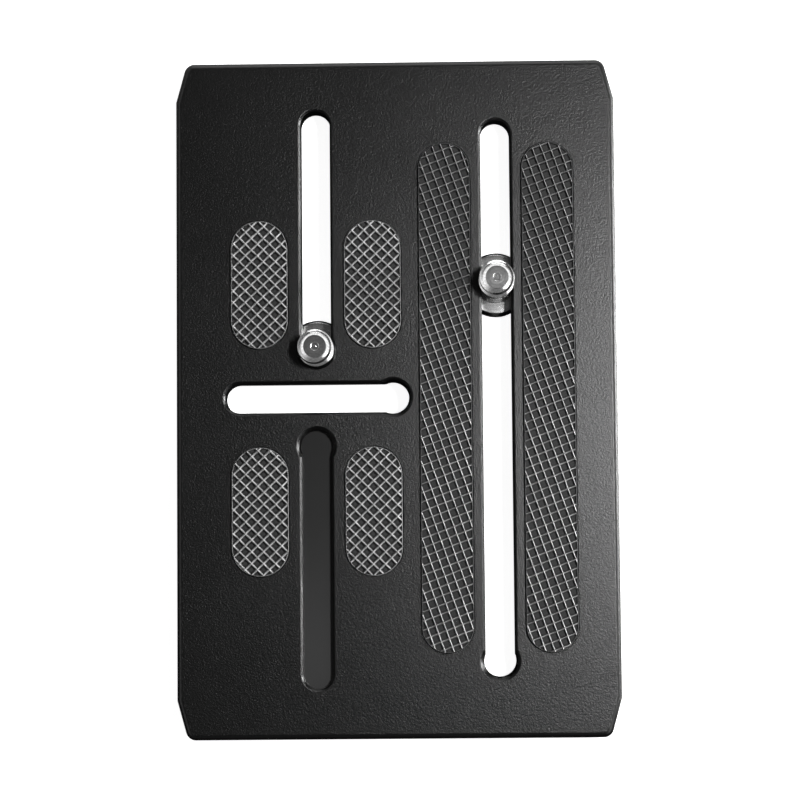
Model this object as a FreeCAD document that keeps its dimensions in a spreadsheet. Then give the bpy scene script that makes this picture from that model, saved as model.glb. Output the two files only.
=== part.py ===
import FreeCAD, Part
import math
import os
from types import SimpleNamespace

import Sketcher
from FreeCAD import Vector

# Camera plate with keyhole slots, two captive camera screws and ribbed rubber pads.
# +X runs across the plate, +Y along it, +Z up, with the origin under its middle.

# Driving dimensions in millimetres, and degrees for the turns of the rib lattices
dimensions = {
    "plate_length": 120.0,
    "plate_width": 78.0,
    "plate_thick": 8.0,
    "corner_cut_length": 6.9,
    "corner_cut_width": 1.9,
    "end_corner_radius": 1.8,
    "top_chamfer": 0.6,
    # Clamping groove along both sides, with 45 degree flanks
    "groove_depth": 1.8,
    "groove_flat": 0.6,
    "foot_inset": 0.6,
    "foot_height": 1.0,
    # Slots: place of the keyhole end and of the far end, measured to their centres
    "slot_width": 5.2,
    "slot_chamfer": 0.4,
    "left_slot_place": 14.2,
    "left_slot_near": 8.6,
    "left_slot_far": 48.65,
    "cross_slot_near": 0.7,
    "cross_slot_far": 27.75,
    "right_slot_place": 17.8,
    "right_slot_keyhole": 46.55,
    "right_slot_far": 46.7,
    "right_screw_place": 20.45,
    "blind_slot_depth": 1.6,
    # Tapped keyhole at one end of each slot: how far its thread stands in, and its countersink's width
    "tap_engagement": 0.65,
    "countersink_lip": 0.4,
    # Captive screw with a quarter inch thread, and its washer
    "thread_diameter": 6.35,
    "screw_reach": 6.0,
    "tip_flat_diameter": 3.9,
    "head_diameter": 11.4,
    "head_height": 2.2,
    "head_edge": 0.4,
    "coin_slot_width": 1.6,
    "coin_slot_depth": 1.1,
    "washer_diameter": 10.7,
    "washer_thick": 0.7,
    # Running clearances
    "neck_clearance": 0.5,
    "shoulder_gap": 0.3,
    "washer_bore_clearance": 0.25,
    "washer_gap": 0.1,
    "web_gap": 0.2,
    "floor_gap": 0.2,
    "track_clearance": 0.6,
    # Rubber pads in shallow recesses
    "recess_depth": 0.8,
    "recess_clearance": 0.1,
    "pad_proud": 0.8,
    "long_pad_length": 90.4,
    "long_pad_width": 9.3,
    "long_pad_offset": 9.15,
    "long_lattice_turn": 19.5,
    "small_pad_length": 22.9,
    "small_pad_width": 10.2,
    "small_pad_offset": 10.03,
    "small_pad_place": 20.1,
    "small_rib_width": 0.5,
    "small_lattice_turn": 45.0,
    "rib_pitch": 1.5,
    "rib_height": 0.8,
    "pad_rim": 0.2,
}

doc = FreeCAD.newDocument("quick_release_plate")
sheet = doc.addObject("Spreadsheet::Sheet", "Dims")
for row, (alias, amount) in enumerate(dimensions.items(), start=1):
    sheet.set(f"A{row}", alias)
    sheet.set(f"B{row}", str(amount))
    sheet.setAlias(f"B{row}", alias)
doc.recompute()


# A length that knows its number and the sheet formula behind it, so that both stay in step
class Dim:
    def __init__(self, text, value):
        self.text = text
        self.value = value

    def __add__(self, other):
        return Dim(f"({self.text} + {other.text})", self.value + other.value)

    def __sub__(self, other):
        return Dim(f"({self.text} - {other.text})", self.value - other.value)

    def __truediv__(self, factor):
        return Dim(f"({self.text} / {factor})", self.value / factor)

    def __neg__(self):
        return Dim(f"(-{self.text})", -self.value)


zero = Dim("0", 0.0)
size = SimpleNamespace(**{alias: Dim(f"Dims.{alias}", sheet.get(alias)) for alias in dimensions})

# Sizes that follow from the driving ones
half_length = size.plate_length / 2
half_width = size.plate_width / 2
head_stack = size.head_height + size.washer_gap + size.washer_thick
track_depth = size.floor_gap + head_stack + size.web_gap
track_radius = (size.head_diameter + size.track_clearance) / 2
slot_radius = size.slot_width / 2
tap_core = size.thread_diameter - size.tap_engagement
countersink = size.thread_diameter + size.countersink_lip + size.countersink_lip
left_x = -size.left_slot_place
right_x = size.right_slot_place
recess_floor = size.plate_thick - size.recess_depth
pad_thick = size.recess_depth + size.pad_proud
tolerance = 1e-6


# Sketches and features

def origin_plane(body, role):
    for feature in body.Origin.OriginFeatures:
        if feature.Role == role:
            return feature


def new_sketch(body, name, role, height):
    sketch = body.newObject("Sketcher::SketchObject", name)
    sketch.AttachmentSupport = [(origin_plane(body, role), "")]
    sketch.MapMode = "FlatFace"
    sketch.setExpression("AttachmentOffset.Base.z", height.text)
    return sketch


def bind(sketch, kind, items, dim):
    index = sketch.addConstraint(Sketcher.Constraint(kind, *items, dim.value))
    sketch.setExpression(f"Constraints[{index}]", dim.text)


def place_point(sketch, geometry, point, x, y):
    for kind, axis, dim in (("DistanceX", -2, x), ("DistanceY", -1, y)):
        if dim is zero:
            sketch.addConstraint(Sketcher.Constraint("PointOnObject", geometry, point, axis))
        else:
            bind(sketch, kind, (-1, 1, geometry, point), dim)


# Closed outline of straight lines through points given by their two dimensions
def add_polygon(sketch, points):
    first = sketch.GeometryCount
    count = len(points)
    corners = [Vector(x.value, y.value, 0) for x, y in points]
    for index in range(count):
        sketch.addGeometry(Part.LineSegment(corners[index], corners[(index + 1) % count]))
    for index, (x, y) in enumerate(points):
        following = first + (index + 1) % count
        sketch.addConstraint(Sketcher.Constraint("Coincident", first + index, 2, following, 1))
        place_point(sketch, first + index, 1, x, y)


# Round ended slot between two centres, along X or Y of the sketch
def add_slot(sketch, near, far, radius):
    (near_x, near_y), (far_x, far_y) = near, far
    start = Vector(near_x.value, near_y.value, 0)
    end = Vector(far_x.value, far_y.value, 0)
    along = (end - start).normalize()
    side = Vector(-along.y, along.x, 0) * radius.value
    heading = math.atan2(along.y, along.x)
    normal = Vector(0, 0, 1)
    quarter = math.pi / 2
    far_circle = Part.Circle(end, normal, radius.value)
    near_circle = Part.Circle(start, normal, radius.value)
    far_arc = sketch.addGeometry(Part.ArcOfCircle(far_circle, heading - quarter, heading + quarter))
    left_line = sketch.addGeometry(Part.LineSegment(end + side, start + side))
    near_arc = sketch.addGeometry(
        Part.ArcOfCircle(near_circle, heading + quarter, heading + 3 * quarter))
    right_line = sketch.addGeometry(Part.LineSegment(start - side, end - side))
    loop = (far_arc, left_line, near_arc, right_line)
    for current, following in zip(loop, loop[1:] + loop[:1]):
        sketch.addConstraint(Sketcher.Constraint("Tangent", current, 2, following, 1))
    sketch.addConstraint(Sketcher.Constraint("Equal", far_arc, near_arc))
    bind(sketch, "Radius", (far_arc,), radius)
    upright = near_x is far_x
    sketch.addConstraint(Sketcher.Constraint("Vertical" if upright else "Horizontal", left_line))
    place_point(sketch, far_arc, 3, far_x, far_y)
    kind, dim = ("DistanceY", near_y) if upright else ("DistanceX", near_x)
    bind(sketch, kind, (-1, 1, near_arc, 3), dim)


def add_feature(body, kind, name, sketch, length=None):
    feature = body.newObject(f"PartDesign::{kind}", name)
    feature.Profile = sketch
    if length is None:
        feature.Type = "ThroughAll"
    else:
        feature.setExpression("Length", length.text)
    doc.recompute()
    return feature


def edge_names(shape, edges):
    names = []
    for index, edge in enumerate(shape.Edges, start=1):
        if any(edge.isSame(other) for other in edges):
            names.append(f"Edge{index}")
    return names


def dress_edges(body, kind, name, edges, prop, dim):
    base = body.Tip
    feature = body.newObject(f"PartDesign::{kind}", name)
    feature.Base = (base, edge_names(base.Shape, edges))
    feature.setExpression(prop, dim.text)
    doc.recompute()
    return feature


# Countersunk hole with the core diameter of the thread, right through or to a flat floor
def add_tapped_hole(body, name, middle, depth=None):
    sketch = new_sketch(body, f"{name}_outline", "XY_Plane", size.plate_thick)
    x, y = middle
    circle = Part.Circle(Vector(x.value, y.value, 0), Vector(0, 0, 1), tap_core.value / 2)
    index = sketch.addGeometry(circle)
    place_point(sketch, index, 3, x, y)
    bind(sketch, "Diameter", (index,), tap_core)
    hole = body.newObject("PartDesign::Hole", name)
    hole.Profile = sketch
    doc.recompute()
    hole.ThreadType = "None"
    hole.HoleCutType = "Countersink"
    hole.HoleCutCustomValues = True
    hole.HoleCutCountersinkAngle = 90
    hole.setExpression("Diameter", tap_core.text)
    hole.setExpression("HoleCutDiameter", countersink.text)
    if depth is None:
        hole.DepthType = "ThroughAll"
    else:
        hole.DepthType = "Dimension"
        hole.DrillPoint = "Flat"
        hole.setExpression("Depth", depth.text)
    doc.recompute()
    return hole


def new_body(label):
    body = doc.addObject("PartDesign::Body", label)
    body.Label = label
    return body


# Keyhole middle and far end of each slot that goes right through, and of the blind one
slots = {
    "upper_left": ((left_x, size.left_slot_near), (left_x, size.left_slot_far)),
    "cross": ((-size.cross_slot_near, zero), (-size.cross_slot_far, zero)),
    "right": ((right_x, -size.right_slot_keyhole), (right_x, size.right_slot_far)),
}
blind_slot = ((left_x, -size.left_slot_near), (left_x, -size.left_slot_far))

# Length, width, flat of the ribs and lattice turn of each kind of pad.
# The ribs of the long pads come to a sharp crest.
pad_kinds = {
    "long_pad": (size.long_pad_length, size.long_pad_width, zero, size.long_lattice_turn),
    "small_pad": (size.small_pad_length, size.small_pad_width,
                  size.small_rib_width, size.small_lattice_turn),
}

# Kind and middle of each pad
small_left = left_x - size.small_pad_offset
small_right = left_x + size.small_pad_offset
pads = {
    "inner_long_pad": ("long_pad", right_x - size.long_pad_offset, zero),
    "outer_long_pad": ("long_pad", right_x + size.long_pad_offset, zero),
    "upper_left_pad": ("small_pad", small_left, size.small_pad_place),
    "upper_right_pad": ("small_pad", small_right, size.small_pad_place),
    "lower_left_pad": ("small_pad", small_left, -size.small_pad_place),
    "lower_right_pad": ("small_pad", small_right, -size.small_pad_place),
}


# Plate: a bar with tapered corners, side grooves, keyhole slots, head tracks and pad recesses

def end_corners(shape):
    edges = []
    for edge in shape.Edges:
        start, end = (vertex.Point for vertex in edge.Vertexes)
        upright = abs(start.z - end.z) > size.plate_thick.value / 2
        if upright and abs(abs(start.y) - half_length.value) < tolerance:
            edges.append(edge)
    return edges


def top_face(shape):
    top = size.plate_thick.value
    level = [face for face in shape.Faces if abs(face.BoundBox.ZMin - top) < tolerance]
    return max(level, key=lambda face: face.Area)


def make_plate():
    body = new_body("plate")
    cut_x = half_width - size.corner_cut_width
    cut_y = half_length - size.corner_cut_length
    outline = new_sketch(body, "plate_outline", "XY_Plane", zero)
    add_polygon(outline, [
        (cut_x, half_length), (-cut_x, half_length), (-half_width, cut_y), (-half_width, -cut_y),
        (-cut_x, -half_length), (cut_x, -half_length), (half_width, -cut_y), (half_width, cut_y)])
    bar = add_feature(body, "Pad", "bar", outline, size.plate_thick)
    corners = end_corners(bar.Shape)
    dress_edges(body, "Fillet", "end_corner_fillets", corners, "Radius", size.end_corner_radius)

    # Each groove is drawn past the side, so that it opens on the foot and on the flange
    bottom = size.foot_height
    low = bottom + size.groove_depth - size.foot_inset
    high = low + size.groove_flat
    top = high + size.groove_depth
    inner = half_width - size.groove_depth
    foot = half_width - size.foot_inset
    outer = half_width + size.groove_depth
    grooves = new_sketch(body, "groove_sections", "XZ_Plane", half_length)
    right_points = [(foot, zero), (foot, bottom), (inner, low), (inner, high),
                    (half_width, top), (outer, top), (outer, zero)]
    add_polygon(grooves, right_points)
    add_polygon(grooves, [(-x, z) for x, z in right_points])
    add_feature(body, "Pocket", "side_grooves", grooves)

    for name, (near, far) in slots.items():
        sketch = new_sketch(body, f"{name}_slot_outline", "XY_Plane", size.plate_thick)
        add_slot(sketch, near, far, slot_radius)
        add_feature(body, "Pocket", f"{name}_slot", sketch)
    sketch = new_sketch(body, "lower_left_slot_outline", "XY_Plane", size.plate_thick)
    add_slot(sketch, *blind_slot, slot_radius)
    add_feature(body, "Pocket", "lower_left_slot", sketch, size.blind_slot_depth)

    top = top_face(body.Tip.Shape)
    rims = [edge for wire in top.Wires if not wire.isSame(top.OuterWire) for edge in wire.Edges]
    dress_edges(body, "Chamfer", "slot_chamfers", rims, "Size", size.slot_chamfer)
    outer_edges = top_face(body.Tip.Shape).OuterWire.Edges
    dress_edges(body, "Chamfer", "top_chamfers", outer_edges, "Size", size.top_chamfer)
    for name, (near, far) in slots.items():
        add_tapped_hole(body, f"{name}_keyhole", near)
    add_tapped_hole(body, "lower_left_keyhole", blind_slot[0], size.blind_slot_depth)

    for name, (near, far) in slots.items():
        sketch = new_sketch(body, f"{name}_track_outline", "XY_Plane", track_depth)
        add_slot(sketch, near, far, track_radius)
        add_feature(body, "Pocket", f"{name}_track", sketch, track_depth)

    for name, (kind, x, y) in pads.items():
        length, width = pad_kinds[kind][:2]
        sketch = new_sketch(body, f"{name}_recess_outline", "XY_Plane", size.plate_thick)
        radius = width / 2 + size.recess_clearance
        reach = (length - width) / 2
        add_slot(sketch, (x, y - reach), (x, y + reach), radius)
        add_feature(body, "Pocket", f"{name}_recess", sketch, size.recess_depth)
    return body


# Captive screw, turned in one piece: coin slotted head, slim neck, thread and chamfered tip

def make_screw(label, x, y):
    body = new_body(label)
    head = size.head_diameter / 2
    neck = (size.slot_width - size.neck_clearance) / 2
    thread = size.thread_diameter / 2
    tip = size.tip_flat_diameter / 2
    head_top = size.head_height
    shoulder = size.plate_thick + size.shoulder_gap - size.floor_gap
    tip_top = size.plate_thick + size.screw_reach - size.floor_gap
    tip_foot = tip_top - (thread - tip)
    profile = new_sketch(body, f"{label}_profile", "XZ_Plane", zero)
    add_polygon(profile, [
        (zero, zero), (head - size.head_edge, zero), (head, size.head_edge),
        (head, head_top - size.head_edge), (head - size.head_edge, head_top), (neck, head_top),
        (neck, shoulder), (thread, shoulder), (thread, tip_foot), (tip, tip_top), (zero, tip_top)])
    turned = body.newObject("PartDesign::Revolution", f"{label}_turned")
    turned.Profile = profile
    turned.ReferenceAxis = (profile, ["V_Axis"])
    turned.Angle = 360
    doc.recompute()
    slot = new_sketch(body, f"{label}_coin_slot_outline", "XY_Plane", size.coin_slot_depth)
    half_slot = size.coin_slot_width / 2
    add_polygon(slot, [(-head, -half_slot), (head, -half_slot), (head, half_slot), (-head, half_slot)])
    add_feature(body, "Pocket", f"{label}_coin_slot", slot, size.coin_slot_depth)
    place(body, x, y, size.floor_gap)
    return body


def make_washer(label, x, y):
    body = new_body(label)
    sketch = new_sketch(body, f"{label}_outline", "XY_Plane", zero)
    bore = size.thread_diameter + size.washer_bore_clearance
    for diameter in (size.washer_diameter, bore):
        circle = sketch.addGeometry(Part.Circle(Vector(0, 0, 0), Vector(0, 0, 1), diameter.value / 2))
        sketch.addConstraint(Sketcher.Constraint("Coincident", circle, 3, -1, 1))
        bind(sketch, "Diameter", (circle,), diameter)
    add_feature(body, "Pad", f"{label}_disc", sketch, size.washer_thick)
    place(body, x, y, size.floor_gap + size.head_height + size.washer_gap)
    return body


def place(item, x, y, z):
    for axis, dim in zip("xyz", (x, y, z)):
        item.setExpression(f"Placement.Base.{axis}", dim.text)


# Rubber pad: a round ended strip whose top is a lattice of ribs round hollow cells

def inside_strip(point, length, width):
    straight = (length - width) / 2
    beyond = max(abs(point.y) - straight, 0.0)
    return math.hypot(point.x, beyond) <= width / 2


# Mouth corners of every whole cell, clockwise from above, with the rib tops at the given level
def lattice_mouths(length, width, rib, turn, level):
    pitch = size.rib_pitch.value
    half_mouth = (pitch - rib) / 2
    around = ((-1, -1), (-1, 1), (1, 1), (1, -1))
    spin = FreeCAD.Rotation(Vector(0, 0, 1), turn)
    reach = math.ceil(length / pitch)
    rim = 2 * size.pad_rim.value
    mouths = []
    for row in range(-reach, reach):
        for column in range(-reach, reach):
            middle = Vector((column + 0.5) * pitch, (row + 0.5) * pitch, level)
            corners = [spin.multVec(middle + Vector(a, b, 0) * half_mouth) for a, b in around]
            if all(inside_strip(corner, length - rim, width - rim) for corner in corners):
                mouths.append(corners)
    return mouths


# Each cell is a hollow pyramid as deep as the ribs are high
def cell_faces(corners):
    apex = (corners[0] + corners[2]) / 2 - Vector(0, 0, size.rib_height.value)
    faces = []
    for start, end in zip(corners, corners[1:] + corners[:1]):
        faces.append(Part.Face(Part.makePolygon([start, end, apex, start])))
    return faces


# Outlines of the areas that the cells take out of the flat top, without the sides that two cells share
def lattice_outlines(mouths):
    sides = {}
    for corners in mouths:
        for start, end in zip(corners, corners[1:] + corners[:1]):
            pair = (start, end)
            ends = frozenset((round(p.x / tolerance), round(p.y / tolerance)) for p in pair)
            sides.setdefault(ends, []).append(pair)
    edges = [Part.makeLine(*pairs[0]) for pairs in sides.values() if len(pairs) == 1]
    return [Part.Wire(chain) for chain in Part.sortEdges(edges)]


# One pad of a kind: its outline is a body, and the lattice takes the place of that body's flat top
def ribbed_solid(kind, length, width, rib, turn):
    strip = doc.addObject("PartDesign::Body", f"{kind}_strip")
    sketch = new_sketch(strip, f"{kind}_outline", "XY_Plane", zero)
    reach = (length - width) / 2
    radius = width / 2
    add_slot(sketch, (zero, -reach), (zero, reach), radius)
    add_feature(strip, "Pad", f"{kind}_sheet", sketch, pad_thick)
    flat_top = max(strip.Shape.Faces, key=lambda face: face.CenterOfMass.z)
    faces = [face for face in strip.Shape.Faces if not face.isSame(flat_top)]
    mouths = lattice_mouths(length.value, width.value, rib.value, turn.value, pad_thick.value)
    flat_top.cutHoles(lattice_outlines(mouths))
    faces.append(flat_top)
    for corners in mouths:
        faces.extend(cell_faces(corners))
    return Part.Solid(Part.Shell(faces))


def make_pad(label, solid, x, y):
    pad = doc.addObject("Part::Feature", label)
    pad.Label = label
    pad.Shape = solid.copy()
    place(pad, x, y, recess_floor)
    return pad


nodes = [
    make_plate(),
    make_screw("left_screw", left_x, size.left_slot_near),
    make_washer("left_washer", left_x, size.left_slot_near),
    make_screw("right_screw", right_x, size.right_screw_place),
    make_washer("right_washer", right_x, size.right_screw_place),
]
ribbed = {kind: ribbed_solid(kind, *layout) for kind, layout in pad_kinds.items()}
for label, (kind, x, y) in pads.items():
    nodes.append(make_pad(label, ribbed[kind], x, y))
doc.recompute()

for item in doc.Objects:
    if "Invalid" in item.State or "Error" in item.State:
        raise RuntimeError(f"{item.Label} failed: {item.State}")

os.makedirs("parts", exist_ok=True)
for node in nodes:
    if node.Shape.isNull() or not node.Shape.isValid():
        raise RuntimeError(f"{node.Label} has no valid shape")
    node.Shape.exportStep(f"parts/{node.Label}.step")
    print(node.Label, "solids", len(node.Shape.Solids), "volume", round(node.Shape.Volume, 3))
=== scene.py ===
import math
import random

import bmesh
import bpy
from mathutils import Matrix, Vector


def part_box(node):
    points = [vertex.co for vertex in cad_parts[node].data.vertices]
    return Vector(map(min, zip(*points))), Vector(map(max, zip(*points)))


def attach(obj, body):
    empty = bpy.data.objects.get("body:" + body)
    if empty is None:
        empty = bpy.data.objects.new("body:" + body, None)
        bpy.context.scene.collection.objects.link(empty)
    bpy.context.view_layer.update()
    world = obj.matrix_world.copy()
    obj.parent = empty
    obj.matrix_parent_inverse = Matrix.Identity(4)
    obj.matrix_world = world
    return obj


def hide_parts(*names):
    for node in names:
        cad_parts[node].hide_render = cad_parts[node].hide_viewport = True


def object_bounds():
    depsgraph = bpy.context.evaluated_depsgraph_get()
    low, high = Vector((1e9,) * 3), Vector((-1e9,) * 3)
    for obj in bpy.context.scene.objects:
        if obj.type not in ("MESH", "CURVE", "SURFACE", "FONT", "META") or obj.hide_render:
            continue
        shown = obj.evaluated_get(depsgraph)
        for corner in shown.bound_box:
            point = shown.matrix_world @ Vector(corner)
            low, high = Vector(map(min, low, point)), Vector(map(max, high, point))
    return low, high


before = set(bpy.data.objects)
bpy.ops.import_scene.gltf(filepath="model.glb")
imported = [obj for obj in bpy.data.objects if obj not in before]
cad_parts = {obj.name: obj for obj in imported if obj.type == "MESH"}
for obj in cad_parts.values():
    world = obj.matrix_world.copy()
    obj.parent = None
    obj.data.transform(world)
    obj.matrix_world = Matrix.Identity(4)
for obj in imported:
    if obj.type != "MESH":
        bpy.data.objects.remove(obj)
cadBox = [list(corner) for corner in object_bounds()]
scene = bpy.context.scene
mm = 0.001    # meshes are shaped in millimetres and written in metres
weldReach = 1e-4     # mm, within which two points become one
solidReach = 1e-3    # mm, the same for threads and for meshes of the solids
cutReach = 1e-5      # mm, within which a point of a thread lies on a cut
print("frame loaded,", len(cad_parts), "nodes")


# Small helpers for meshes

def nodeBox(node):
    low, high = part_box(node)
    return low / mm, high / mm


def addObject(name, mesh):
    made = bpy.data.objects.new(name, mesh)
    scene.collection.objects.link(made)
    return made


def addMesh(name, bm):
    mesh = bpy.data.meshes.new(name)
    bm.to_mesh(mesh)
    bm.free()
    return mesh


def tidyFaces(bm):
    bmesh.ops.remove_doubles(bm, verts=bm.verts, dist=weldReach)
    bmesh.ops.recalc_face_normals(bm, faces=bm.faces)


def cutPlane(bm, point, outward, reach, clear=True):
    everything = bm.verts[:] + bm.edges[:] + bm.faces[:]
    return bmesh.ops.bisect_plane(bm, geom=everything, plane_co=point, plane_no=outward,
                                  clear_outer=clear, dist=reach)


def turnProfile(profile, steps, closed=False):
    bm = bmesh.new()
    verts = [bm.verts.new((radius, 0, height)) for radius, height in profile]
    ends = verts[1:] + verts[:1] if closed else verts[1:]
    edges = [bm.edges.new(pair) for pair in zip(verts, ends)]
    bmesh.ops.spin(bm, geom=verts + edges, cent=(0, 0, 0), axis=(0, 0, 1),
                   angle=math.tau, steps=steps, use_merge=True)
    tidyFaces(bm)
    return bm


def combine(base, tool, operation):
    holders = [addObject("holder", addMesh("holder", bm)) for bm in (base, tool)]
    joiner = holders[0].modifiers.new("combine", "BOOLEAN")
    joiner.operation = operation
    joiner.solver = "EXACT"
    joiner.object = holders[1]
    graph = bpy.context.evaluated_depsgraph_get()
    joined = bpy.data.meshes.new_from_object(holders[0].evaluated_get(graph))
    result = bmesh.new()
    result.from_mesh(joined)
    for mesh in [joined] + [holder.data for holder in holders]:
        bpy.data.meshes.remove(mesh)
    return result


def finishPiece(bm, piece):
    bmesh.ops.scale(bm, vec=(mm, mm, mm), verts=bm.verts)
    for face in bm.faces:
        face.smooth = True
    mesh = addMesh(piece["name"], bm)
    mesh.set_sharp_from_angle(angle=math.radians(piece["sharpFrom"]))
    mesh.materials.append(piece["material"])
    made = addObject(piece["name"], mesh)
    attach(made, piece["body"])
    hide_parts(piece["node"])
    print("made", piece["name"], len(mesh.polygons), "faces")
    return made


# Small helpers for shader nodes

def addNode(tree, kind, inputs=None, **settings):
    node = tree.nodes.new(kind)
    for name, value in settings.items():
        setattr(node, name, value)
    for name, value in (inputs or {}).items():
        if isinstance(value, bpy.types.NodeSocket):
            tree.links.new(value, node.inputs[name])
        else:
            node.inputs[name].default_value = value
    return node


def addMath(tree, operation, first, second=0.0):
    return addNode(tree, "ShaderNodeMath", {0: first, 1: second}, operation=operation).outputs[0]


def addRamp(tree, value, fromLow, fromHigh, toLow=0.0, toHigh=1.0, kind="SMOOTHSTEP"):
    ends = {"Value": value, "From Min": fromLow, "From Max": fromHigh, "To Min": toLow, "To Max": toHigh}
    return addNode(tree, "ShaderNodeMapRange", ends, interpolation_type=kind).outputs["Result"]


def addNoise(tree, vector, perMillimetre, detail=2.0, roughness=0.5):
    values = {"Vector": vector, "Scale": perMillimetre / mm, "Detail": detail, "Roughness": roughness}
    return addNode(tree, "ShaderNodeTexNoise", values).outputs["Fac"]


def mixColour(tree, share, first, second):
    node = addNode(tree, "ShaderNodeMix", {"Factor": share}, data_type="RGBA")
    for place, value in ((6, first), (7, second)):    # the sockets for colours
        if isinstance(value, bpy.types.NodeSocket):
            tree.links.new(value, node.inputs[place])
        else:
            node.inputs[place].default_value = value
    return node.outputs[2]


def grey(level):
    return (level, level, level, 1.0)


def addBump(tree, shader, height, depth):
    values = {"Height": height, "Strength": 1.0, "Distance": depth * mm}
    bump = addNode(tree, "ShaderNodeBump", values)
    tree.links.new(bump.outputs["Normal"], shader.inputs["Normal"])


def startMaterial(name):
    material = bpy.data.materials.new(name)
    material.use_nodes = True
    tree = material.node_tree
    place = addNode(tree, "ShaderNodeTexCoord").outputs["Object"]
    return material, tree, tree.nodes["Principled BSDF"], place


# Camera, from the plate's corners in the photograph

cameraSet = {
    "eye": (7.62, -32.57, 448.32),         # mm
    "turn": (4.1534, 0.9563, -0.4987),     # degrees
    "lens": 112.5,
    "sensor": 36.0,
    "nearest": 10,                         # mm from the eye at which the view starts
}

cameraData = bpy.data.cameras.new("camera")
cameraData.lens = cameraSet["lens"]
cameraData.sensor_width = cameraSet["sensor"]
cameraData.clip_start = cameraSet["nearest"] * mm
camera = addObject("camera", cameraData)
camera.location = Vector(cameraSet["eye"]) * mm
camera.rotation_euler = [math.radians(angle) for angle in cameraSet["turn"]]
scene.camera = camera
scene.view_settings.view_transform = "Standard"


# Lamps: a soft box high on the right, a low panel beside it, a wide lamp in front, a faint panel behind

lampSet = {
    "softBox": {"place": (146, 22, 375), "size": (75, 75), "power": 1.6},
    "sidePanel": {"place": (420, 40, 52), "size": (90, 90), "power": 2.6},
    "cornerLamp": {"place": (320, -210, 230), "size": (240, 240), "power": 0.45},
    "backPanel": {"place": (60, 420, 110), "size": (420, 120), "power": 0.6},
}

for lampName, lamp in lampSet.items():
    lampData = bpy.data.lights.new(lampName, "AREA")
    lampData.shape = "RECTANGLE"
    lampData.size, lampData.size_y = (side * mm for side in lamp["size"])
    lampData.energy = lamp["power"]
    lampObject = addObject(lampName, lampData)
    lampObject.location = Vector(lamp["place"]) * mm
    lampObject.rotation_euler = (-lampObject.location).to_track_quat("-Z", "Y").to_euler()
    lampObject.visible_camera = False
print("camera and lamps placed")


# Stage: a white floor that keeps a faint shadow, and a white surround.
# Gloss sees the floor's glow with a painted shadow under the plate and painted light that is dim in front and
# bright behind, and a pale band round a dark ceiling.

stageSet = {
    "floorDrop": 0.05, "floorHalf": 3000, "floorGrey": 0.8,
    "floorGlow": 0.93,          # of the floor as the camera sees it
    "floorGloss": (0.0, 1.5),   # of the floor's painted glow as gloss sees it, in front and behind
    "floorFade": (-60, 160),    # mm from front left to back right
    "fadeTowards": (0.5, 0.87, 0),
    "paintedShadowEdge": 6,             # mm over which the painted shadow under the plate fades
    "worldGrey": 0.1,
    "ceiling": 0.08, "surround": 1.5,
    "surroundFrom": (0.36, 0.5), "surroundTo": (0.66, 0.78),    # heights of the pale band on a unit sphere
    "front": (-0.75, -0.25), "frontShare": 0.12,    # where the band fades in front, and what is left of it
}


def rayShares(tree):
    rays = addNode(tree, "ShaderNodeLightPath").outputs
    gloss = addMath(tree, "MAXIMUM", rays["Is Glossy Ray"], rays["Is Transmission Ray"])
    return rays["Is Camera Ray"], gloss


def floorGloss(tree, place):
    axes = addNode(tree, "ShaderNodeSeparateXYZ", {"Vector": place}).outputs
    half = Vector(cadBox[1])
    # Painted shadow: the glow that gloss sees is dark under the plate
    outsidePaintedShadow = []
    for axis, reach in (("X", half.x), ("Y", half.y)):
        away = addMath(tree, "ABSOLUTE", axes[axis])
        outsidePaintedShadow.append(addRamp(tree, away, reach, reach + stageSet["paintedShadowEdge"] * mm))
    clear = addMath(tree, "MAXIMUM", outsidePaintedShadow[0], outsidePaintedShadow[1])
    # Painted light: that glow rises from front to back
    spot = {0: place, 1: stageSet["fadeTowards"]}
    along = addNode(tree, "ShaderNodeVectorMath", spot, operation="DOT_PRODUCT")
    front, back = (edge * mm for edge in stageSet["floorFade"])
    fade = addRamp(tree, along.outputs["Value"], front, back, *stageSet["floorGloss"])
    return addMath(tree, "MULTIPLY", clear, fade)


def makeFloor():
    material, tree, shader, place = startMaterial("paleFloor")
    shader.inputs["Roughness"].default_value = 1.0
    shader.inputs["Emission Color"].default_value = grey(1.0)
    seen, gloss = rayShares(tree)
    paper = mixColour(tree, gloss, grey(stageSet["floorGrey"]), grey(0.0))
    tree.links.new(paper, shader.inputs["Base Color"])
    seenGlow = addMath(tree, "MULTIPLY", seen, stageSet["floorGlow"])
    glossGlow = addMath(tree, "MULTIPLY", gloss, floorGloss(tree, place))
    tree.links.new(addMath(tree, "ADD", seenGlow, glossGlow), shader.inputs["Emission Strength"])
    bm = bmesh.new()
    bmesh.ops.create_grid(bm, x_segments=1, y_segments=1, size=stageSet["floorHalf"])
    bmesh.ops.translate(bm, verts=bm.verts, vec=(0, 0, -stageSet["floorDrop"]))
    bmesh.ops.scale(bm, vec=(mm, mm, mm), verts=bm.verts)
    mesh = addMesh("floor", bm)
    mesh.materials.append(material)
    addObject("floor", mesh)


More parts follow.
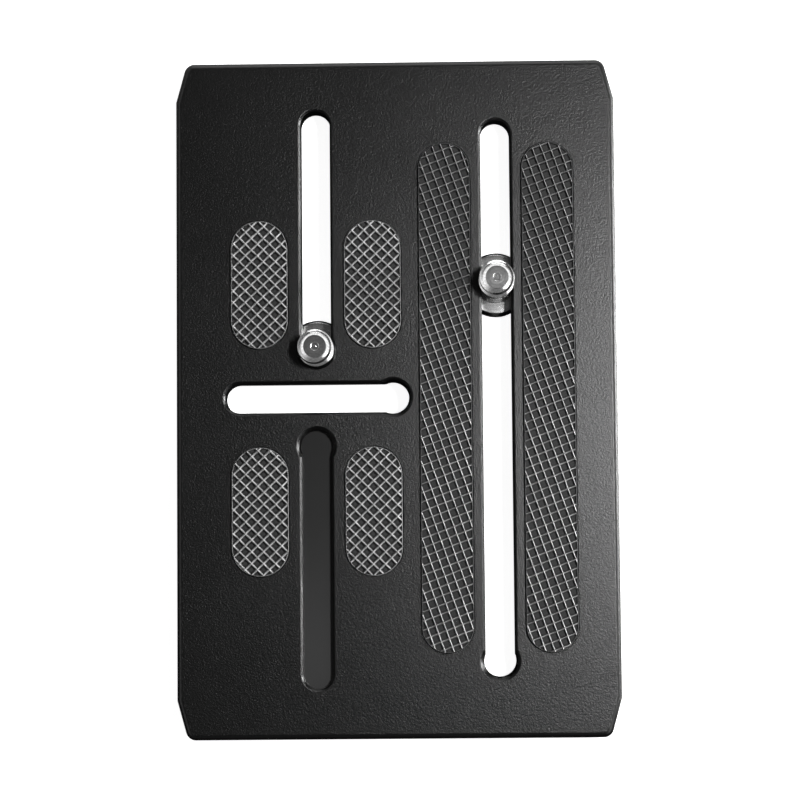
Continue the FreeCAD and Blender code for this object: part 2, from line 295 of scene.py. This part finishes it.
def makeWorld():
    world = bpy.data.worlds.new("studio")
    world.use_nodes = True
    tree = world.node_tree
    background = tree.nodes["Background"]
    background.inputs["Color"].default_value = grey(1.0)
    direction = addNode(tree, "ShaderNodeTexCoord").outputs["Generated"]
    axes = addNode(tree, "ShaderNodeSeparateXYZ", {"Vector": direction}).outputs
    rise = addRamp(tree, axes["Z"], *stageSet["surroundFrom"])
    fall = addRamp(tree, axes["Z"], *stageSet["surroundTo"], 1.0, 0.0)
    away = addRamp(tree, axes["Y"], *stageSet["front"], stageSet["frontShare"], 1.0)
    band = addMath(tree, "MULTIPLY", addMath(tree, "MULTIPLY", rise, fall), away)
    glossLevel = addRamp(tree, band, 0, 1, stageSet["ceiling"], stageSet["surround"], "LINEAR")
    seen, gloss = rayShares(tree)
    level = addNode(tree, "ShaderNodeMix", {0: gloss, 2: stageSet["worldGrey"], 3: glossLevel}).outputs[0]
    level = addNode(tree, "ShaderNodeMix", {0: seen, 2: level, 3: 1.0}).outputs[0]
    tree.links.new(level, background.inputs["Strength"])
    scene.world = world


makeFloor()
makeWorld()
print("stage made")


# Effects that several finishes share, as node groups

def startGroup(name, inputs, output):
    group = bpy.data.node_groups.new(name, "ShaderNodeTree")
    for socketName, kind in inputs.items():
        group.interface.new_socket(name=socketName, in_out="INPUT", socket_type="NodeSocket" + kind)
    group.interface.new_socket(name=output, in_out="OUTPUT", socket_type="NodeSocketFloat")
    entry = addNode(group, "NodeGroupInput").outputs
    leave = addNode(group, "NodeGroupOutput").inputs
    return group, entry, leave[output]


def useGroup(tree, group, inputs):
    return addNode(tree, "ShaderNodeGroup", inputs, node_tree=group).outputs[0]


grainSet = {
    "detail": 3.0, "roughness": 0.55,
    "blotchScale": 0.37, "blotchDetail": 2.0, "blotchShare": 0.05,    # of the coarser grain mixed in
}


def makeGrain():
    group, entry, leave = startGroup("fineGrain", {"Place": "Vector", "Fineness": "Float"}, "Height")
    fine = {"Vector": entry["Place"], "Scale": entry["Fineness"],
            "Detail": grainSet["detail"], "Roughness": grainSet["roughness"]}
    grain = addNode(group, "ShaderNodeTexNoise", fine).outputs["Fac"]
    coarseScale = addMath(group, "MULTIPLY", entry["Fineness"], grainSet["blotchScale"])
    coarse = {"Vector": entry["Place"], "Scale": coarseScale, "Detail": grainSet["blotchDetail"]}
    blotch = addNode(group, "ShaderNodeTexNoise", coarse).outputs["Fac"]
    blend = {0: grainSet["blotchShare"], 2: grain, 3: blotch}
    group.links.new(addNode(group, "ShaderNodeMix", blend).outputs[0], leave)
    return group


speckSet = {"smallest": 0.4}    # share of the reach that the smallest speck has


def makeSpecks():
    group, entry, leave = startGroup(
        "dustSpecks", {"Place": "Vector", "Spacing": "Float", "Reach": "Float", "Share": "Float"}, "Mask")
    spread = {"Vector": entry["Place"], "Scale": entry["Spacing"]}
    cells = addNode(group, "ShaderNodeTexVoronoi", spread).outputs
    chance = addNode(group, "ShaderNodeSeparateColor", {"Color": cells["Color"]}).outputs["Red"]
    kept = addMath(group, "LESS_THAN", chance, entry["Share"])
    size = addMath(group, "ADD", chance, speckSet["smallest"])
    reach = addMath(group, "MULTIPLY", entry["Reach"], size)
    spot = addRamp(group, cells["Distance"], 0.0, reach, 1.0, 0.0)
    group.links.new(addMath(group, "MULTIPLY", kept, spot), leave)
    return group


turningSet = {"drift": 0.06, "detail": 2.0}    # drift is how much a ring changes on its way round


def makeTurning():
    group, entry, leave = startGroup("turnedRings", {"Place": "Vector", "Fineness": "Float"}, "Height")
    axes = addNode(group, "ShaderNodeSeparateXYZ", {"Vector": entry["Place"]}).outputs
    flat = addNode(group, "ShaderNodeCombineXYZ", {"X": axes["X"], "Y": axes["Y"]}).outputs[0]
    radius = addNode(group, "ShaderNodeVectorMath", {0: flat}, operation="LENGTH").outputs["Value"]
    across = addNode(group, "ShaderNodeCombineXYZ", {"X": radius, "Z": axes["Z"]}).outputs[0]
    drift = {0: flat, "Scale": turningSet["drift"]}
    slow = addNode(group, "ShaderNodeVectorMath", drift, operation="SCALE").outputs[0]
    spot = addNode(group, "ShaderNodeVectorMath", {0: across, 1: slow}, operation="ADD").outputs[0]
    ring = {"Vector": spot, "Scale": entry["Fineness"], "Detail": turningSet["detail"]}
    group.links.new(addNode(group, "ShaderNodeTexNoise", ring).outputs["Fac"], leave)
    return group


fineGrain = makeGrain()
dustSpecks = makeSpecks()
turnedRings = makeTurning()


def addGrain(tree, place, fineness):
    return useGroup(tree, fineGrain, {"Place": place, "Fineness": fineness / mm})


def addSpecks(tree, place, specks):
    spacing, reach, share = specks
    inputs = {"Place": place, "Spacing": spacing / mm, "Reach": reach, "Share": share}
    return useGroup(tree, dustSpecks, inputs)


# Finishes

anodisedSet = {
    "shade": (0.0005, 0.0015), "shadeEnds": (0.35, 0.65),    # and the grain's heights there
    "dust": 0.12, "sheen": 0.355,
    "roughness": (0.28, 0.3), "polished": 0.276,
    "grain": 3.7, "grainDepth": 0.051,          # per mm, mm
    "smoothLevel": 6.4,                         # mm, height of the blind slot's floor
    "smoothReach": (0.02, 0.1),                 # mm from the floor over which the grain begins
    "paintedFloorLight": (0.0075, 0.03), "floorEnds": (-12, -48),    # painted light on the blind slot's floor, brighter towards the front, and its ends along the slot, in mm
    "specks": (0.55, 0.07, 0.55),               # dust specks that also stand in for painted glints: cells per mm, reach in cells, share of cells
    "clouds": (0.05, 4.0, 0.6), "cloudEnds": (0.3, 0.7),     # noise per mm, detail, roughness
    "smudges": ((14, -53, 5), (33, -51, 6), (30, 20, 4)),    # place and reach in mm
    "smudgeFade": (0.3, 1.6),                   # shares of the reach
    "smudgeNoise": (0.35, 4.0, 0.6), "smudgeEnds": (0.35, 0.6),
}


def anodisedFinish():
    finish = anodisedSet
    material, tree, shader, place = startMaterial("blackAnodised")
    shader.inputs["Specular IOR Level"].default_value = finish["sheen"]
    grain = addGrain(tree, place, finish["grain"])
    specks = addSpecks(tree, place, finish["specks"])
    raised = addRamp(tree, grain, *finish["shadeEnds"])
    shade = mixColour(tree, raised, *(grey(level) for level in finish["shade"]))
    # Dust specks, which also stand in for painted glints
    shade = mixColour(tree, specks, shade, grey(finish["dust"]))
    axes = addNode(tree, "ShaderNodeSeparateXYZ", {"Vector": place}).outputs
    fromFloor = addMath(tree, "ABSOLUTE", addMath(tree, "SUBTRACT", axes["Z"], finish["smoothLevel"] * mm))
    aboveFloor = addRamp(tree, fromFloor, *(reach * mm for reach in finish["smoothReach"]))
    # The blind slot's floor has painted light, brighter towards the front, in place of the plate's grain
    # colour
    along = addRamp(tree, axes["Y"], *(end * mm for end in finish["floorEnds"]))
    paintedFloorLight = mixColour(tree, along, *(grey(level) for level in finish["paintedFloorLight"]))
    tree.links.new(mixColour(tree, aboveFloor, paintedFloorLight, shade), shader.inputs["Base Color"])
    cloud = addNoise(tree, place, *finish["clouds"])
    rough = addRamp(tree, cloud, *finish["cloudEnds"], *finish["roughness"])
    patchy = addRamp(tree, addNoise(tree, place, *finish["smudgeNoise"]), *finish["smudgeEnds"])
    for x, y, reach in finish["smudges"]:
        spot = {0: place, 1: (x * mm, y * mm, cadBox[1][2])}
        apart = addNode(tree, "ShaderNodeVectorMath", spot, operation="DISTANCE")
        ends = (share * reach * mm for share in finish["smudgeFade"])
        near = addRamp(tree, apart.outputs["Value"], *ends, 1.0, 0.0)
        mask = addMath(tree, "MULTIPLY", near, patchy)
        rough = addNode(tree, "ShaderNodeMix", {0: mask, 2: rough, 3: finish["polished"]}).outputs[0]
    tree.links.new(rough, shader.inputs["Roughness"])
    addBump(tree, shader, addMath(tree, "MULTIPLY", grain, aboveFloor), finish["grainDepth"])
    return material


shortRubberSet = {
    "name": "ribbedRubber", "cell": 0.018, "crest": (0.14, 0.44), "dust": 0.6, "sheen": 0.3,
    "crestLevels": (8.5, 8.74),                 # mm, heights between which a rib pales
    "paintedHighlightEnds": (0, -20), "paintedHighlightShares": (1.0, 1.0),    # mm along the plate, and how pale the ribs are there: a painted highlight, paler towards the front
    "paintedShadeSlopes": (-0.7, -0.1),                  # slopes facing left, over which a rib's painted shade gives way to its pale colour
    "paintedLightSlopes": (0.1, 0.6), "leastPaintedLight": 0.25,    # slopes facing right, over which painted light pales a rib most, and the share before
    "patches": (0.5, 1.0), "patchNoise": (1.1, 2.0), "patchEnds": (0.35, 0.65),
    "roughness": (0.6, 0.36),                   # in a cell and on a rib
    "grain": 4.0, "grainDepth": 0.02,
    "specks": (0.9, 0.07, 0.35),
}
longRubberSet = dict(
    shortRubberSet, name="ribbedStripRubber", cell=0.012, crest=(0.07, 0.66), crestLevels=(8.6, 8.77),
    paintedHighlightEnds=(45, -15), paintedHighlightShares=(0.3, 1.0), patches=(0.6, 1.0))


def rubberFinish(finish):
    material, tree, shader, place = startMaterial(finish["name"])
    shader.inputs["Specular IOR Level"].default_value = finish["sheen"]
    axes = addNode(tree, "ShaderNodeSeparateXYZ", {"Vector": place}).outputs
    slope = addNode(tree, "ShaderNodeNewGeometry").outputs["Normal"]
    towardsRight = addNode(tree, "ShaderNodeSeparateXYZ", {"Vector": slope}).outputs["X"]
    level = addRamp(tree, axes["Z"], *(level * mm for level in finish["crestLevels"]))
    # On slopes facing left a rib takes the cell's dark colour: painted shade
    crest = addMath(tree, "MULTIPLY", level, addRamp(tree, towardsRight, *finish["paintedShadeSlopes"]))
    # Ribs paler towards the front: a painted highlight
    pale = addRamp(tree, axes["Y"], *(end * mm for end in finish["paintedHighlightEnds"]), *finish["paintedHighlightShares"])
    noise = addNoise(tree, place, *finish["patchNoise"])
    patchy = addRamp(tree, noise, *finish["patchEnds"], *finish["patches"])
    # Slopes facing right are paler: painted light; the random patches are wear
    paintedLight = addRamp(tree, towardsRight, *finish["paintedLightSlopes"], finish["leastPaintedLight"], 1.0)
    wearAndPaintedLight = addMath(tree, "MULTIPLY", addMath(tree, "MULTIPLY", paintedLight, patchy), pale)
    grain = addGrain(tree, place, finish["grain"])
    specks = addSpecks(tree, place, finish["specks"])
    crestShade = mixColour(tree, wearAndPaintedLight, *(grey(level) for level in finish["crest"]))
    shade = mixColour(tree, crest, grey(finish["cell"]), crestShade)
    shade = mixColour(tree, specks, shade, grey(finish["dust"]))
    tree.links.new(shade, shader.inputs["Base Color"])
    tree.links.new(addRamp(tree, crest, 0, 1, *finish["roughness"]), shader.inputs["Roughness"])
    addBump(tree, shader, grain, finish["grainDepth"])
    return material


steelSet = {"darkest": 0.72, "noiseEnds": (0.3, 0.7)}    # darkest as a share of the level
screwSteelSet = {"level": 0.72, "roughness": (0.13, 0.19), "rings": 5.0, "ringDepth": 0.006, "grain": 3.0}
washerSteelSet = {"level": 0.62, "roughness": (0.17, 0.22), "rings": 4.0, "ringDepth": 0.002, "grain": 2.5}


def steelFinish(name, finish, centre):
    material, tree, shader, place = startMaterial(name)
    shader.inputs["Metallic"].default_value = 1.0
    middle = (-centre.x * mm, -centre.y * mm, 0)
    centred = addNode(tree, "ShaderNodeMapping", {"Vector": place, "Location": middle}).outputs[0]
    rings = useGroup(tree, turnedRings, {"Place": centred, "Fineness": finish["rings"] / mm})
    clean = addRamp(tree, addGrain(tree, centred, finish["grain"]), *steelSet["noiseEnds"])
    level = finish["level"]
    shade = mixColour(tree, clean, grey(level * steelSet["darkest"]), grey(level))
    tree.links.new(shade, shader.inputs["Base Color"])
    rough = addRamp(tree, rings, *steelSet["noiseEnds"], *finish["roughness"])
    tree.links.new(rough, shader.inputs["Roughness"])
    addBump(tree, shader, rings, finish["ringDepth"])
    return material


anodised = anodisedFinish()
shortRubber = rubberFinish(shortRubberSet)
longRubber = rubberFinish(longRubberSet)
print("finishes made")


# Threads: one helical ridge, for the screws and for the tapped keyholes

threadSpare = {"before": 3, "whole": 4}    # turns made before the start and in all, to be cut off


def threadedRod(thread, low, high):
    pitch, crest, root = thread["pitch"], thread["crest"], thread["root"]
    crestHalf, rootHalf = pitch * thread["crestShare"] / 2, pitch * thread["rootShare"] / 2
    bm = bmesh.new()
    verts = []
    for turn in range(math.ceil((high - low) / pitch) + threadSpare["whole"]):
        base = low + (turn - threadSpare["before"]) * pitch
        for radius, height in ((crest, -crestHalf), (crest, crestHalf),
                               (root, pitch / 2 - rootHalf), (root, pitch / 2 + rootHalf)):
            verts.append(bm.verts.new((radius, 0, base + height)))
    edges = [bm.edges.new(pair) for pair in zip(verts, verts[1:])]
    bmesh.ops.spin(bm, geom=verts + edges, cent=(0, 0, 0), axis=(0, 0, 1), angle=math.tau,
                   steps=thread["steps"], dvec=(0, 0, pitch / thread["steps"]))
    bmesh.ops.remove_doubles(bm, verts=bm.verts, dist=solidReach)
    for height, outward in ((low, -1), (high, 1)):
        cutPlane(bm, (0, 0, height), (0, 0, outward), cutReach)
        rim = [edge for edge in bm.edges if edge.is_boundary
               and all(abs(vert.co.z - height) < solidReach for vert in edge.verts)]
        bmesh.ops.holes_fill(bm, edges=rim, sides=0)
    bmesh.ops.recalc_face_normals(bm, faces=bm.faces)
    return bm


# Plate: the machined body with tapped keyholes and edges broken by a fine rounding

plateSet = {
    "name": "machinedPlate", "node": "plate", "body": "plate", "slot": "anodised_plate",
    "material": anodised, "sharpFrom": 40,
    "edgeFrom": 20,          # degrees between faces at which an edge is rounded
    "chamferTo": 60,         # degrees, under which a top edge is that of a chamfer
    "rimRound": 0.36, "slotRound": 0.08,      # mm, along the chamfers outside and at the slots
    "recessRound": 0.01, "edgeRound": 0.06,    # mm, along the pads' recesses and the rest
    "rimDepth": 3.2,         # mm from the outer faces within which a top edge is an outer one
    "roundSteps": 4,
    "keyholes": ((-14.2, 8.6), (-0.7, 0.0), (17.8, -46.55), (-14.2, -8.6)),    # mm
    "seams": (-24.23, -14.2, -4.17, 8.65, 17.8, 26.95),    # mm, along the middles of slots and pads
    "tapReach": 3.3,         # mm from a keyhole's axis within which its thread lies
    "tapFrom": (3.3, 3.3, 3.3, 6.4), "tapTo": 7.5,
    "tapStart": 0.15,        # mm above a thread's foot up to which edges are still rounded
    "flatWithin": 0.5,       # degrees, within which triangles make one flat face
}
tapThread = {"crest": 3.2, "root": 2.5, "pitch": 1.27, "crestShare": 0.2, "rootShare": 0.1, "steps": 48}


def tapKeyholes(bm, plate):
    for (x, y), low in zip(plate["keyholes"], plate["tapFrom"]):
        tap = threadedRod(tapThread, low, plate["tapTo"])
        bmesh.ops.translate(tap, vec=(x, y, 0), verts=tap.verts)
        bm = combine(bm, tap, "DIFFERENCE")
    return bm


def inThread(edge, plate):
    middle = (edge.verts[0].co + edge.verts[1].co) / 2
    if middle.z > plate["tapTo"] or middle.z < min(plate["tapFrom"]) + plate["tapStart"]:
        return False
    return any((middle.xy - Vector(hole)).length < plate["tapReach"] for hole in plate["keyholes"])


def weighEdges(bm, plate, high):
    weight = bm.edges.layers.float.new("bevel_weight_edge")
    inner = high.xy - Vector((plate["rimDepth"], plate["rimDepth"]))
    for edge in bm.edges:
        if not edge.is_manifold:
            continue
        turn = math.degrees(edge.calc_face_angle())
        if turn < plate["edgeFrom"] or inThread(edge, plate):
            continue
        middle = (edge.verts[0].co + edge.verts[1].co) / 2
        onTop = all(high.z - vert.co.z < solidReach for vert in edge.verts)
        size = plate["edgeRound"]
        if onTop and turn < plate["chamferTo"]:
            atRim = abs(middle.x) > inner.x or abs(middle.y) > inner.y
            size = plate["rimRound"] if atRim else plate["slotRound"]
        elif onTop:
            size = plate["recessRound"]
        edge[weight] = size / plate["rimRound"]


# Triangles join into flat faces between seams, so that no face has a hole in it
def seamFaces(bm, plate):
    for x in plate["seams"]:
        cut = cutPlane(bm, (x, 0, 0), (1, 0, 0), solidReach, clear=False)
        for item in cut["geom_cut"]:
            if isinstance(item, bmesh.types.BMEdge):
                item.seam = True
    bmesh.ops.dissolve_limit(bm, angle_limit=math.radians(plate["flatWithin"]), verts=bm.verts,
                             edges=bm.edges, delimit={"SEAM"})


def makePlate(plate):
    high = nodeBox(plate["node"])[1]
    bm = bmesh.new()
    bm.from_mesh(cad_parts[plate["node"]].data)
    bmesh.ops.scale(bm, vec=(1 / mm, 1 / mm, 1 / mm), verts=bm.verts)
    bmesh.ops.remove_doubles(bm, verts=bm.verts, dist=solidReach)
    seamFaces(bm, plate)
    bm = tapKeyholes(bm, plate)
    weighEdges(bm, plate, high)
    made = finishPiece(bm, plate)
    rounding = made.modifiers.new("brokenEdges", "BEVEL")
    rounding.limit_method = "WEIGHT"
    rounding.width = plate["rimRound"] * mm
    rounding.segments = plate["roundSteps"]
    rounding.profile = 0.5
    rounding.use_clamp_overlap = False
    made.modifiers.new("faceNormals", "WEIGHTED_NORMAL").keep_sharp = True


makePlate(plateSet)


# Pads: rubber strips with a lattice of rounded ribs, cut out of sheet

longRibs = {
    "angles": (19.46, 110.35),     # of the two rib families, across the ribs
    "pitch": (1.495, 1.504),
    # Inset and drop of each step down a rib
    "profile": ((0.03, 0.02), (0.05, 0.06), (0.06, 0.15), (0.05, 0.26), (0.04, 0.29)),
    "wobble": 0.02,
    "material": longRubber,
}
smallRibs = {
    "angles": (44.88, 133.95),
    "pitch": (1.49, 1.49),
    "profile": ((0.05, 0.03), (0.09, 0.09), (0.1, 0.16), (0.09, 0.24), (0.07, 0.26)),
    "wobble": 0.03,
    "material": shortRubber,
}
padSet = {
    "inner_long_pad": {"name": "innerLongStrip", "ribs": longRibs, "start": (0.95, 0.61)},
    "outer_long_pad": {"name": "outerLongStrip", "ribs": longRibs, "start": (0.31, 0.02)},
    "upper_left_pad": {"name": "upperLeftPad", "ribs": smallRibs, "start": (0.44, 1.02)},
    "upper_right_pad": {"name": "upperRightPad", "ribs": smallRibs, "start": (-0.3, 0.5)},
    "lower_left_pad": {"name": "lowerLeftPad", "ribs": smallRibs, "start": (-0.1, 0.58)},
    "lower_right_pad": {"name": "lowerRightPad", "ribs": smallRibs, "start": (0.73, 0.94)},
}
padShape = {
    "spare": 2,        # ribs of sheet kept outside a pad until it is cut out
    "endSteps": 24,    # flats round each end
    "rim": ((0.24, 0.18), (0.2, 0.15), (0.14, 0.15), (0.1, 0.19)),    # inset and drop along the rim
    "sharpFrom": 50,
}


def latticeMatrix(ribs):
    rows = []
    for angle, pitch in zip(ribs["angles"], ribs["pitch"]):
        turn = math.radians(angle)
        rows.append((math.cos(turn) / pitch, math.sin(turn) / pitch))
    return Matrix(rows).inverted()


# The nearest point of the line between the middles of a pad's round ends
def onSpine(vert, centre, spine):
    along = max(-spine, min(spine, vert.co.y - centre.y))
    return centre.xy + Vector((0, along))


def ribbedSheet(node, pad, centre, half, top):
    ribs = pad["ribs"]
    lattice = latticeMatrix(ribs)
    count = 2 * math.ceil(half.length / min(ribs["pitch"])) + padShape["spare"]
    shift = lattice @ Vector([start / pitch for start, pitch in zip(pad["start"], ribs["pitch"])])
    wobble = random.Random(node)
    bm = bmesh.new()
    bmesh.ops.create_grid(bm, x_segments=count, y_segments=count, size=count / 2)
    for vert in bm.verts:
        flat = centre.xy + shift + lattice @ vert.co.xy
        sway = Vector((wobble.uniform(-1, 1), wobble.uniform(-1, 1))) * ribs["wobble"]
        vert.co = (flat + sway).to_3d() + Vector((0, 0, top))
    spine = half.y - half.x
    reach = half.x + padShape["spare"] * max(ribs["pitch"])
    outside = [vert for vert in bm.verts if (vert.co.xy - onSpine(vert, centre, spine)).length > reach]
    bmesh.ops.delete(bm, geom=outside, context="VERTS")
    cells = bm.faces[:]
    for inset, drop in ribs["profile"]:
        bmesh.ops.inset_individual(bm, faces=cells, thickness=inset, depth=-drop, use_even_offset=True)
    return bm


def cutOutline(bm, centre, half):
    spine = half.y - half.x
    inner = half.x - padShape["rim"][0][0]
    cuts = [(Vector((side * inner, 0)), Vector((side, 0))) for side in (-1, 1)]
    for end in (-1, 1):
        for step in range(padShape["endSteps"] + 1):
            turn = math.pi * step / padShape["endSteps"]
            outward = Vector((math.cos(turn), end * math.sin(turn)))
            cuts.append((Vector((0, end * spine)) + outward * inner, outward))
    for point, outward in cuts:
        cutPlane(bm, (centre.xy + point).to_3d(), outward.to_3d(), weldReach)


def addRim(bm, centre, half, low, high):
    spine = half.y - half.x
    steps = [(inset, high.z - drop) for inset, drop in padShape["rim"]]
    steps.append((padShape["rim"][-1][0], low.z))
    edges = [edge for edge in bm.edges if edge.is_boundary]
    for inset, height in steps:
        step = bmesh.ops.extrude_edge_only(bm, edges=edges)["geom"]
        edges = [item for item in step if isinstance(item, bmesh.types.BMEdge) and item.is_boundary]
        for vert in {vert for edge in edges for vert in edge.verts}:
            middle = onSpine(vert, centre, spine)
            away = (vert.co.xy - middle).normalized() * (half.x - inset)
            vert.co = (middle + away).to_3d() + Vector((0, 0, height))
    bmesh.ops.remove_doubles(bm, verts=bm.verts, dist=weldReach)
    bmesh.ops.holes_fill(bm, edges=[edge for edge in bm.edges if edge.is_boundary], sides=0)
    bmesh.ops.recalc_face_normals(bm, faces=bm.faces)


def makePad(node, pad):
    low, high = nodeBox(node)
    centre, half = (low + high) / 2, (high - low) / 2
    bm = ribbedSheet(node, pad, centre, half, high.z)
    cutOutline(bm, centre, half)
    addRim(bm, centre, half, low, high)
    piece = {"name": pad["name"], "node": node, "body": "plate", "slot": "rubber_pad",
             "material": pad["ribs"]["material"], "sharpFrom": padShape["sharpFrom"]}
    finishPiece(bm, piece)


for node, pad in padSet.items():
    makePad(node, pad)


# Camera screws: turned blank with a rounded and dimpled tip, cut thread, coin slot

screwThread = {"crest": 3.12, "root": 2.455, "pitch": 1.27, "crestShare": 0.16, "rootShare": 0.2, "steps": 72}
screwSet = {
    "neckRadius": 2.35, "headRadius": 5.7, "headHeight": 2.2, "headEdge": 0.4,
    "shoulder": 8.3,                                        # mm, height at which the thread starts
    "tipFlat": 2.0, "tipEnd": 2.58, "tipTurn": (23, 33),    # mm and degrees, of the rounded tip
    "tipSteps": 6, "coneDrop": 1.225,
    # Radius and depth along the lathe's dimple in the tip
    "dimple": ((0.75, 0.0), (0.7, 0.03), (0.62, 0.05), (0.3, 0.055), (0.22, 0.03), (0.0, 0.03)),
    "coinWidth": 1.6, "coinDepth": 1.1, "coinReach": 3,    # mm, and the cutter's length in head radii
    "steps": 72, "sharpFrom": 8,
}


def tipProfile(screw, tip):
    low, high = (math.radians(turn) for turn in screw["tipTurn"])
    bend = (screw["tipEnd"] - screw["tipFlat"]) / (math.sin(high) - math.sin(low))
    points = []
    for step in range(screw["tipSteps"] + 1):
        turn = high + (low - high) * step / screw["tipSteps"]
        radius = screw["tipFlat"] + bend * (math.sin(turn) - math.sin(low))
        points.append((radius, tip - bend * (math.cos(low) - math.cos(turn))))
    return points


def makeScrew(node, name):
    low, high = nodeBox(node)
    centre = (low + high) / 2
    screw, crest = screwSet, screwThread["crest"]
    tip, base = high.z, low.z
    shank = [(0, screw["shoulder"]), (crest, screw["shoulder"]), (crest, tip - screw["coneDrop"])]
    shank += tipProfile(screw, tip)
    shank += [(radius, tip - depth) for radius, depth in screw["dimple"]]
    top = base + screw["headHeight"]
    edge = screw["headEdge"]
    neckTop = screw["shoulder"] + screwThread["pitch"]
    head = [
        (0, base), (screw["headRadius"] - edge, base), (screw["headRadius"], base + edge),
        (screw["headRadius"], top - edge), (screw["headRadius"] - edge, top), (screw["neckRadius"], top),
        (screw["neckRadius"], neckTop), (0, neckTop),
    ]
    thread = threadedRod(screwThread, screw["shoulder"], tip + screwThread["pitch"])
    body = combine(turnProfile(shank, screw["steps"]), thread, "INTERSECT")
    body = combine(body, turnProfile(head, screw["steps"]), "UNION")
    coin = bmesh.new()
    bmesh.ops.create_cube(coin, size=1)
    coinLength = screw["coinReach"] * screw["headRadius"]
    coinSize = (coinLength, screw["coinWidth"], 2 * screw["coinDepth"])
    bmesh.ops.scale(coin, vec=coinSize, verts=coin.verts)
    bmesh.ops.translate(coin, vec=(0, 0, base), verts=coin.verts)
    body = combine(body, coin, "DIFFERENCE")
    bmesh.ops.translate(body, vec=(centre.x, centre.y, 0), verts=body.verts)
    steel = steelFinish(name + "Steel", screwSteelSet, centre)
    piece = {"name": name, "node": node, "body": node, "slot": "screw_steel",
             "material": steel, "sharpFrom": screw["sharpFrom"]}
    finishPiece(body, piece)


makeScrew("left_screw", "leftCameraScrew")
makeScrew("right_screw", "rightCameraScrew")


# Washers: turned rings

washerSet = {
    "bore": 3.3, "edge": 0.12, "topEdge": 0.2, "edgeSteps": 6,    # mm, edges broken at the foot and the top
    "steps": 96, "sharpFrom": 20,
}


def makeWasher(node, name, body):
    low, high = nodeBox(node)
    centre, half = (low + high) / 2, (high - low) / 2
    washer = washerSet
    edge = washer["edge"]
    profile = [
        (washer["bore"], low.z + edge), (washer["bore"] + edge, low.z), (half.x - edge, low.z),
        (half.x, low.z + edge),
    ]
    bend = washer["topEdge"]
    for step in range(washer["edgeSteps"] + 1):
        turn = math.pi / 2 * step / washer["edgeSteps"]
        profile.append((half.x - bend + bend * math.cos(turn), high.z - bend + bend * math.sin(turn)))
    profile.append((washer["bore"] + edge, high.z))
    profile.append((washer["bore"], high.z - edge))
    bm = turnProfile(profile, washer["steps"], closed=True)
    bmesh.ops.translate(bm, vec=(centre.x, centre.y, 0), verts=bm.verts)
    steel = steelFinish(name + "Steel", washerSteelSet, centre)
    piece = {"name": name, "node": node, "body": body, "slot": "washer_steel",
             "material": steel, "sharpFrom": washer["sharpFrom"]}
    finishPiece(bm, piece)


makeWasher("left_washer", "leftSlidingWasher", "left_slider")
makeWasher("right_washer", "rightSlidingWasher", "right_slider")
